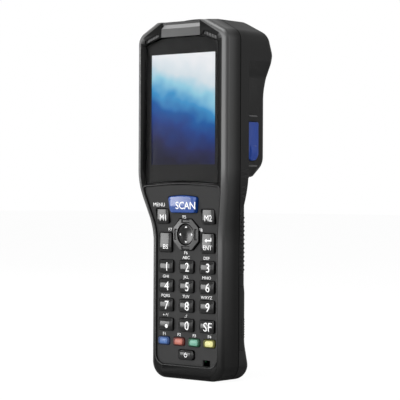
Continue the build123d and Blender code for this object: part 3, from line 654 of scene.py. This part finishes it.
def panel_face(x, z):
    """Depth of the panel's face, which lies behind the cover's."""
    return slope(z) + 0.88


# Pad-printing ink: matt, and a little off white.
ink = moulded("white_pad_print", "ececec", 0.5, ior=1.4, grain_mm=0.5, grain_depth_mm=0.002, mottle=0.03)
column_pitch = 13.95
columns = (-column_pitch, 0, column_pitch)
first_row_z = 58.9
row_pitch = 10.15
rows = [first_row_z - row_pitch * i for i in range(4)]
function_key_pitch = 10.3
function_key_z = 19.7
over_keys = [["", "ABC", "DEF"], ["GHI", "JKL", "MNO"], ["PQRS", "TUV", "WXYZ"], ["+-*/", ",:?", ""]]
legend_tall, legend_wide = 1.6, 1.15
signs = [
    letters(text, (x - 0.7, z + 4.85), legend_tall, panel_face, legend_wide)
    for z, texts in zip(rows, over_keys)
    for x, text in zip(columns, texts)
    if text
]
around_ring = {
    "F5": (-0.9, 84.95), "F6": (-0.8, 66.3), "F7": (-11.4, 78.2), "F8": (9.4, 78.2), "MENU": (-17.2, 91.3),
}
for text, place in around_ring.items():
    tall = 2.0 if text == "MENU" else 1.75
    signs.append(letters(text, place, tall, panel_face, 1.1))
for i in range(4):
    place = ((i - 1.5) * function_key_pitch, function_key_z + 3.65)
    signs.append(letters(f"F{i + 1}", place, legend_tall, panel_face, legend_wide))
printed("panel_legends", signs, "case", ink)

# ---- Figure, mode, back-space and enter keys ---------
# Black glossy ABS caps with a ridge across them and rounded sides, on a rubber mat.
# Each cap's legend is printed on it and moves with it.

# Polished ABS: black, with clear light patches where a flat faces a lamp.
key_plastic = moulded("black_gloss_abs_keycap", "0c0c0c", 0.17, ior=1.34, grain_mm=0.8, grain_depth_mm=0.001)


def cap_face(place, ridge=-0.25, brow=0.24, crest=-1.1, lean=0.05, falls=(0.8, 0.8), crown=(0.14, 1.4)):
    """Depth on a cap: the slope, plus three flats with soft edges. The middle one leans
    back from the ridge to the brow, one falls away below the ridge, one above the brow.
    Added are a crown across, a square from its line, and a bend towards the two sides.
    Ridge and brow are shares of the height, and the crown's line one of the half width."""
    x0, z0, width, tall = place
    side_bend, bend_from = 0.55, 0.66

    def soft(t):
        """Nothing below 0 and t above it, the corner rounded by the 0.3."""
        return (t + np.sqrt(t * t + 0.3)) / 2

    def depth(x, z):
        """The sum of those, at a place on the cap."""
        u = (x - x0) / (width / 2)
        t = z - z0
        foot = falls[0] / (0.5 + ridge) / tall * soft(ridge * tall - t)
        top = falls[1] / (0.5 - brow) / tall * soft(t - brow * tall) if brow < 0.5 else 0
        bend = side_bend * np.clip((np.abs(u) - bend_from) / (1 - bend_from), 0, None) ** 2
        across = crown[0] * (u - crown[1]) ** 2 + bend
        return slope(z) + crest + lean * (t - ridge * tall) + foot + top + across

    return depth


def cap_grid(outline, place, depth, edge=0.45, foot=1.8):
    """A cap as rings about its middle: skirt, quarter-round edge, then the face to a pole."""
    middle = np.array(place[:2])
    half = np.array(place[2:]) / 2
    offset = outline - middle
    turn = np.linspace(0, np.pi / 2, 6)
    inset = 1 - edge * (1 - np.cos(turn))[:, None, None] / half
    round_xz = middle + offset[None] * inset
    inner = round_xz[-1]
    edge_y = depth(inner[:, 0], inner[:, 1])
    round_y = edge_y[None] + edge * (1 - np.sin(turn))[:, None]
    share = np.linspace(1, 0.04, 16)[1:, None, None]
    face_xz = middle + (inner - middle)[None] * share
    face_y = depth(face_xz[..., 0], face_xz[..., 1])
    skirt_y = slope(outline[:, 1]) + foot
    xz = np.concatenate([outline[None], round_xz, face_xz])
    y = np.concatenate([skirt_y[None], round_y, face_y])
    return to_metres(xz[..., 0], y, xz[..., 1])


def key_outline(place, corner, step=0.35):
    """The rounded rectangle of a key, at equal steps."""
    x, z, width, tall = place
    w, h = width / 2, tall / 2
    corners = [(x - w, z - h), (x + w, z - h), (x + w, z + h), (x - w, z + h)]
    return densified(rounded_outline(corners, corner, 8), step)


print_lift = 0.02


def add_key(name, place, signs, corner=1.1, **shape):
    """A ridged cap that stands for the node, and its printed signs on the same body. A
    place is x, z, width and height; a sign its text, offset from there, height and width."""
    depth = cap_face(place, **shape)
    grid = cap_grid(key_outline(place, corner), place, depth)
    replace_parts(surface(name + "_cap", [grid], name, key_plastic), name)

    def on_cap(x, z):
        """Depth of the middle of the ink, just off the cap."""
        return depth(x, z) - print_lift

    drawn = [
        letters(text, (place[0] + dx, place[1] + dz), tall, on_cap, wide, slices=10)
        for text, dx, dz, tall, wide in signs
    ]
    printed(name + "_legend", drawn, name, ink)


figure_key_size = (10.4, 6.6)
figures = ["1", "2", "3", "4", "5", "6", "7", "8", "9", "point", "0", "shift"]
for index, name in enumerate(figures):
    place = (columns[index % 3], rows[index // 3], *figure_key_size)
    text = {"point": "•", "shift": "SF"}.get(name, name)
    tall = 6.0 if name == "point" else 4.8
    lower = -0.8 if name == "point" else 0
    add_key("key_" + name, place, [(text, 1.3, lower, tall, 1.0)])
wedge = {"ridge": -0.3, "brow": 0.5, "crest": -1.2, "falls": (1.0, 0.0)}
add_key("mode_key_left", (-15.5, 85.25, 9.2, 7.7), [("M1", 1.0, -0.7, 3.4, 0.95)], lean=0.24, **wedge)
add_key("mode_key_right", (15.5, 85.25, 9.2, 7.7), [("M2", 0.8, -0.7, 3.4, 0.95)], lean=0.24, **wedge)
add_key("back_space_key", (-14.4, 71.45, 9.4, 10.3), [("BS", 1.0, -2.2, 2.5, 1.1)], lean=0.06, **wedge)
enter_place = (14.4, 71.45, 9.4, 10.3)
add_key("enter_key", enter_place, [("ENT", 0.8, -2.2, 2.5, 1.0)], lean=0.06, **wedge)
enter_face = cap_face(enter_place, lean=0.06, **wedge)
arrow = [
    (-2.4, 0), (-0.9, 1.1), (-0.9, 0.35), (1.8, 0.35), (1.8, 1.5),
    (2.4, 1.5), (2.4, -0.35), (-0.9, -0.35), (-0.9, -1.1),
]
sign = plate(arrow, (15.3, 72.9), lambda x, z: enter_face(x, z) - half_ink)
printed("enter_arrow", [sign], "enter_key", ink)
dot_x, dot_z, dot_radius, dot_rise = -4.55, rows[1], 0.45, 0.25
square = np.array([(-1, -1), (1, -1), (1, 1), (-1, 1)]) * dot_radius + (dot_x, dot_z)
dot_outline = rounded_outline(square, dot_radius - 0.01)
dot_place = (dot_x, dot_z, 2 * dot_radius, 2 * dot_radius)
five_face = cap_face((0, rows[1], *figure_key_size))
dot_grid = cap_grid(dot_outline, dot_place, lambda x, z: five_face(x, z) - dot_rise, edge=0.2, foot=0.2)
surface("tactile_dot", [dot_grid], "key_5", key_plastic)

# ---- Scan key ----------------------------------------
# The widest cap of the keypad, of blue ABS and arched at its top. It sits on the same
# rubber mat, and its name is printed on it.
scan_place = (-0.4, 91.9, 20.4, 9.6)
scan_corners = [(-8.5, 87.1), (8.0, 87.1), (9.8, 95.3), (0, 96.7), (-10.6, 95.3)]
scan_outline = densified(rounded_outline(scan_corners, [1.0, 1.0, 1.0, 60, 1.0], 10), 0.4)
# Polished blue ABS: its leaning face holds a wide light patch that fades to the foot.
scan_plastic = moulded("blue_gloss_abs_keycap", "1b4084", 0.2, ior=1.45, grain_mm=0.8, grain_depth_mm=0.001)
scan_face = cap_face(
    scan_place, ridge=-0.12, brow=0.5, crest=-1.5, lean=0.28, falls=(0.7, 0.0), crown=(0.12, 1.6)
)
scan_grid = cap_grid(scan_outline, scan_place, scan_face, edge=0.7)
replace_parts(surface("scan_key_cap", [scan_grid], "scan_key", scan_plastic), "scan_key")
sign = letters(
    "SCAN", (2.4, 91.0), 3.9, lambda x, z: scan_face(x, z) - print_lift, weight=0.006, slices=10
)
printed("scan_key_legend", [sign], "scan_key", ink)

# ---- Coloured function keys --------------------------
# Four small caps: a pale coloured face on a skirt of the same hue, painted darker and
# duller as painted shade on its walls. They sit on the rubber mat as the others do.
hues = {
    1: ("key_pale_blue", "blue", "3c6096", "16305c"),
    2: ("key_red", "red", "a45c4c", "4a140c"),
    3: ("key_green", "green", "629884", "10402a"),
    4: ("key_yellow", "yellow", "c9c584", "4c4a10"),
}


def skirt_face(x, z):
    """Depth of a skirt's top, under the coloured face."""
    return slope(z) + 0.1


for index, (slot, hue, pale, skirt_shade) in hues.items():
    name = f"function_key_{index}"
    place = ((index - 2.5) * function_key_pitch, function_key_z, 7.8, 4.2)
    # Satin ABS in its own colour, with a soft light patch; its skirt is painted dark as painted shade.
    face_plastic = moulded(hue + "_satin_abs_face", pale, 0.35, ior=1.45, grain_mm=0.8, grain_depth_mm=0.002)
    skirt_painted_shade = moulded(hue + "_abs_skirt_painted_shade", skirt_shade, 0.4, ior=1.4)
    skirt = cap_grid(key_outline(place, 1.5), place, skirt_face, edge=0.5)
    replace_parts(surface(name + "_skirt", [skirt], name, skirt_painted_shade), name)
    top_place = (place[0] - 0.1, place[1], 6.3, 3.1)
    top_face = cap_face(top_place, crest=-0.75, falls=(0.3, 0.3))
    top_grid = cap_grid(key_outline(top_place, 1.1, 0.3), top_place, top_face, edge=0.4, foot=0.8)
    surface(name + "_face", [top_grid], name, face_plastic)

# ---- Power key ---------------------------------------
# A small black cap low on the panel, on the same mat. It bears the standby sign, a
# broken ring and a bar.
power_place = (0, 13.05, 10.9, 5.0)
power_face = cap_face(power_place, crest=-0.7, falls=(0.5, 0.5))
power_grid = cap_grid(key_outline(power_place, 2.1), power_place, power_face)
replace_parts(surface("power_key_cap", [power_grid], "power_key", key_plastic), "power_key")
turn = np.radians(np.linspace(125, 415, 40))
band = [np.column_stack([r * np.cos(turn), r * np.sin(turn)]) for r in (1.15, 0.8)]
broken_ring = np.concatenate([band[0], band[1][::-1]])
bar = [(-0.17, 0.3), (0.17, 0.3), (0.17, 1.45), (-0.17, 1.45)]
signs = [
    plate(shape, (0.3, 12.9), lambda x, z: power_face(x, z) - half_ink)
    for shape in (broken_ring, bar)
]
printed("power_sign", signs, "power_key", ink)

# ---- Function ring and cursor disc -------------------
# A tilting octagonal ring with four dents for the fingertip, and a dished disc in it.
# Both rock on the rubber mat and close one of four contacts each.
octagon_corners = mirrored([(4.0, 83.85), (8.6, 79.25), (8.6, 72.25), (4.0, 67.65)])
octagon = densified(rounded_outline(octagon_corners, 0.8), 0.3)


def eased(t):
    """A cubic from 0 at 0 to 1 at 1, level at both ends and beyond them."""
    t = np.clip(t, 0, 1)
    return t * t * (3 - 2 * t)


def ring_grid(outline, middle, bore, top, foot, edge, dent):
    """Rings from the bore's foot over the face to the rim's foot and back. The face falls
    off evenly from the bore, with four dents, each a product of eased steps along and
    across."""
    offset = outline - middle
    far = np.linalg.norm(offset, axis=1, keepdims=True)
    unit = offset / far
    share = np.linspace(0, 1, 22)[:, None, None]
    face = middle + unit * (bore + edge + (far - bore - 2 * edge) * share)
    local = np.abs(face - middle)
    along, across = local.min(axis=-1), local.max(axis=-1)
    half_long, inner_edge, outer_edge = 2.9, 6.05, 7.75
    end_ease, side_ease = 0.45, 0.35
    hollow = eased((half_long - along) / end_ease) * eased((across - inner_edge) / side_ease)
    hollow *= eased((outer_edge - across) / side_ease)
    fall = 0.09
    face_y = top + dent * hollow + fall * (np.linalg.norm(face - middle, axis=-1) - bore)
    turn = np.linspace(0, np.pi / 2, 5)[:-1]
    inner = middle + unit * (bore + edge * (1 - np.cos(turn))[:, None, None])
    outer = middle + unit * (far - edge * (1 - np.cos(turn[::-1]))[:, None, None])
    rise = edge * (1 - np.sin(turn))[:, None]
    foot_y = np.full((1, len(outline)), foot)
    near = middle + unit * bore
    xz = np.concatenate([near[None], inner, face, outer, outline[None], near[None]])
    y = np.concatenate([foot_y, rise + face_y[:1], face_y, rise[::-1] + face_y[-1:], foot_y, foot_y])
    return to_metres(xz[..., 0], y, xz[..., 1])


# Polished ABS, grey where it faces the finger and painted black on its flanks as painted
# shade, so that the ring stands out of the panel.
ring_plastic_painted_shade = moulded("grey_gloss_abs_ring_painted_shade", "626262", 0.24, ior=1.3, grain_mm=0.8, grain_depth_mm=0.002)
paint_light_by_facing(ring_plastic_painted_shade, "Y", -0.9, -0.97, ("0c0c0c", "4e4e4e"))
ring_middle = np.array([0, 75.75])
grid = ring_grid(octagon, ring_middle, bore=5.6, top=4.6, foot=7.6, edge=0.35, dent=0.6)
piece = surface("function_ring_cap", [grid], "function_ring", ring_plastic_painted_shade, poles=False)
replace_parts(piece, "function_ring")
dressed_copy("cursor_disc", key_plastic)
arrowhead = np.array([(-0.75, 0), (0.75, 0), (0, 0.95)])
arrow_distance = 3.5
disc_face = 5.2
quarter_turn = np.array([[0, 1], [-1, 0]])
signs = []
for quarter in range(4):
    spin = np.linalg.matrix_power(quarter_turn, quarter)
    place = ring_middle + np.array([0, arrow_distance]) @ spin
    signs.append(plate(arrowhead @ spin, place, lambda x, z: np.full_like(x, disc_face)))
printed("cursor_arrows", signs, "cursor_disc", ink)

# ---- Side triggers -----------------------------------
# Blue ABS levers on steel pins, one each side of the head in the finger scallops.
# A short rib above and below each keeps the finger in its place.

# Satin ABS: a deep blue with a broad, soft light along its bulge.
trigger_plastic = moulded("blue_satin_abs_trigger", "223f8c", 0.32, ior=1.22)
dressed_copy("trigger_left", trigger_plastic)
dressed_copy("trigger_right", trigger_plastic)


def side_rib(side, z, y_range, half_tall, proud, x_surface):
    """A bar with an oval section, which falls to nothing at the ends as sqrt(1 - t6). Its
    root is sunk into the wall."""
    root = 0.1
    share = np.linspace(-1, 1, 24)
    taper = np.sqrt(np.clip(1 - share ** 6, 0, None))[:, None]
    turn = np.linspace(0, 2 * np.pi, 12, endpoint=False)
    y = np.mean(y_range) + share * np.ptp(y_range) / 2
    x = side * (x_surface - root + proud * np.cos(turn) * taper)
    return to_metres(x, y[:, None], z + half_tall * np.sin(turn) * taper)


# ABS smoother than the grain round it, and painted paler as a painted highlight on each rib.
rib_plastic_painted_highlight = moulded("pale_abs_rib_painted_highlight", "4a4a4a", 0.35, ior=1.3)
ribs = [
    side_rib(side, z, y_range=(20.4, 28.3), half_tall=0.45, proud=0.5, x_surface=28.8)
    for side in (-1, 1)
    for z in (111.6, 137.4)
]
surface("trigger_ribs", ribs, "case", rib_plastic_painted_highlight)

# ---- Ribs of the grip --------------------------------
# Moulded ribs round the back of the grip for the fingers, and finer ones on the
# battery cover's sides where the thumb pulls it off.


def wrapped_ribs(levels, half_width, back, corner, front_y, end_x, half_tall, proud):
    """Oval bars along half a loop: up one side, by cos and sin round the back's corner,
    to end_x. They end as half circles, and their roots are sunk into the wall."""
    root = 0.12
    flat_x, flat_y = half_width - corner, back - corner
    turn = np.linspace(0, np.pi / 2, 9)
    arc = np.column_stack([flat_x + corner * np.cos(turn), flat_y + corner * np.sin(turn)])
    side_run = np.column_stack([np.full(8, half_width), np.linspace(front_y, flat_y, 9)[:-1]])
    back_run = np.column_stack([np.linspace(flat_x, end_x, 9)[1:], np.full(8, back)])
    path = np.concatenate([side_run, arc, back_run])
    tangent = np.gradient(path, axis=0)
    tangent /= np.linalg.norm(tangent, axis=1, keepdims=True)
    normal = np.column_stack([tangent[:, 1], -tangent[:, 0]])
    count = len(path)
    ends = np.minimum(np.arange(count), np.arange(count)[::-1]) / 3
    taper = np.sqrt(np.clip(1 - (1 - np.clip(ends, 0, 1)) ** 2, 0, None))[:, None]
    turn = np.linspace(0, 2 * np.pi, 10, endpoint=False)
    off = -root + (proud + root) * np.cos(turn) * taper
    grids = []
    for side in (-1, 1):
        for z in levels:
            x = side * (path[:, :1] + normal[:, :1] * off)
            y = path[:, 1:] + normal[:, 1:] * off
            grids.append(to_metres(x, y, z + half_tall * np.sin(turn) * taper))
    return grids


grip_half_width, grip_corner = 24.2, 4.5
grid_list = wrapped_ribs(
    57.6 + 2.25 * np.arange(13), grip_half_width, back=26.2, corner=grip_corner,
    front_y=20.4, end_x=8.0, half_tall=0.62, proud=0.35,
)
surface("grip_ribs", grid_list, "case", grip_plastic)
grid_list = wrapped_ribs(
    22.6 + 1.3 * np.arange(8), grip_half_width, back=26.8, corner=grip_corner,
    front_y=21.0, end_x=19.5, half_tall=0.4, proud=0.22,
)
surface("cover_ribs", grid_list, "battery_cover", grip_plastic)

# ---- Screws, pins and contacts -----------------------
# Zinc-plated steel screws hold the shells together, and steel pins carry the triggers.
# The coin cell has a steel can, and the charging contacts are plated with gold.


def metal(name, colour, roughness, scratch_mm=0.4):
    """Metal: fine streaks of roughness and a slight bump from a stretched noise."""
    material, tree = new_material(name)
    place = add_node(tree, "ShaderNodeTexCoord")
    stretched = add_node(tree, "ShaderNodeMapping", {"Vector": (place, "Object"), "Scale": (1.0, 1.0, 0.12)})
    streak = add_node(
        tree, "ShaderNodeTexNoise", {"Vector": (stretched, 0), "Scale": 1000 / scratch_mm, "Detail": 2.0}
    )
    spread = 0.08
    rough = add_node(
        tree, "ShaderNodeMapRange",
        {"Value": (streak, 0), "To Min": roughness - spread, "To Max": roughness + spread},
    )
    bump = add_node(tree, "ShaderNodeBump", {"Height": (streak, 0), "Strength": 0.6, "Distance": 0.00001})
    shader = add_node(
        tree, "ShaderNodeBsdfPrincipled",
        {"Base Color": linear(colour), "Metallic": 1.0, "Roughness": (rough, 0), "Normal": (bump, 0)},
    )
    add_node(tree, "ShaderNodeOutputMaterial", {"Surface": (shader, 0)})
    return material


# Zinc plating: light grey, with a soft and streaky mirror.
zinc_plating = metal("zinc_plated_steel", "a9abae", 0.32)
dress(zinc_plating, "case_screws", "trigger_pins", "engine_bracket", "vibration_motor")
# Stainless steel: brighter and smoother than the zinc.
dress(metal("stainless_steel_can", "c2c3c4", 0.25), "coin_cell")
# Gold plating: a warm yellow mirror.
dress(metal("gold_plating", "d8b45a", 0.22), "dock_contacts")

# ---- Scan head ---------------------------------------
# The scan window is let into the top of the head, and the engine looks out through it.
# The engine hangs on its bracket; the speaker, contacts and switches sit near by.

# Red-tinted acrylic: nearly black over the dark engine, red where light comes through.
dress(clear_sheet("red_tinted_acrylic", "7a1410", 0.03, 1.49), "scan_window")
# Black anodising: satin, and so dark that the engine stays unseen behind its window.
engine_coat = moulded("black_anodised_housing", "141414", 0.45, ior=1.5)
dress(engine_coat, "scan_engine", "speaker", "battery_contacts", "trigger_switches")

# ---- Boards, key mat and display holder --------------
# Glass-epoxy boards under green solder resist, a tinned can, a silicone mat, a
# polyester dome sheet and a die-cast magnesium holder, all hidden in the shut case.


def solder_resist(name):
    """Green resist over copper: blocks 1.67 mm wide, half as tall, stand for the tracks."""
    material, tree = new_material(name)
    place = add_node(tree, "ShaderNodeTexCoord")
    block_mm = 5 / 3
    cells = add_node(
        tree, "ShaderNodeTexBrick",
        {
            "Vector": (place, "Object"), "Scale": 500 / block_mm,
            "Color1": linear("14502c"), "Color2": linear("1a6436"), "Mortar": linear("0f3d22"),
        },
    )
    bump = add_node(tree, "ShaderNodeBump", {"Height": (cells, "Fac"), "Strength": 0.5, "Distance": 0.00003})
    shader = add_node(
        tree, "ShaderNodeBsdfPrincipled",
        {"Base Color": (cells, 0), "Roughness": 0.35, "Normal": (bump, 0), "IOR": 1.5},
    )
    add_node(tree, "ShaderNodeOutputMaterial", {"Surface": (shader, 0)})
    return material


# Solder resist: glossy green, in two greens with dark lines between.
dress(solder_resist("green_solder_resist"), "main_board", "key_board")
# Tin: whiter than zinc, with as soft a mirror.
dress(metal("tinned_steel_can", "b9bcbd", 0.35), "shield_can")
# Die-cast magnesium: dull grey with a coarse streak.
dress(metal("die_cast_magnesium", "8d8f90", 0.5, 0.8), "display_holder")
# Silicone rubber: dull, so that the gaps round the keys stay dark.
mat_silicone = moulded("dark_silicone_mat", "1c1c1c", 0.65, ior=1.41, grain_mm=0.8)
dress(mat_silicone, "key_mat", "function_ring_pivot", "cursor_pivot")
# Polyester sheet: pale grey and glossy.
dress(moulded("clear_polyester_sheet", "8a8f92", 0.3, ior=1.5), "dome_sheet")
# Shrink film: dark blue, with the gloss of stretched plastic.
dress(moulded("blue_shrink_film", "27364f", 0.35, ior=1.45), "battery_pack")

# ---- Parting line ------------------------------------
# A thin dark bead of the seal's silicone lies where the two shells meet, as a painted shadow
# of the parting gap. It stands hardly proud of them, and goes with their joint from the head
# down the slope to the grip.
seam_head, seam_grip = 12.0, 19.2
seam_bend_z = (73.5, 107.5)


def seam_depth(z):
    """Depth of the joint: one at the head, one at the grip, eased between over the bend."""
    low, high = seam_bend_z
    share = eased((np.asarray(z, float) - low) / (high - low))
    return seam_grip + (seam_head - seam_grip) * share


case_top = 187.55
case_corners = mirrored([(0, 189.5), (16.5, 187.4), (30.5, 179.8), (30.5, 102.0), (24.2, 78.5), (24.2, 0)])
case_outline = densified(rounded_outline(case_corners, [80, 6, 7, 60, 60, 8.5, 8.5, 60, 60, 7, 6], 16), 1.0)
case_outline[:, 1] = np.minimum(case_outline[:, 1], case_top)
gap_shadow_grid = bead_round(case_outline, seam_depth, shift=-0.04, half_width=0.09, rise=0.32, sink=0.32, steps=9)
surface("painted_gap_shadow_bead", [gap_shadow_grid], "case", seal_silicone, poles=False)
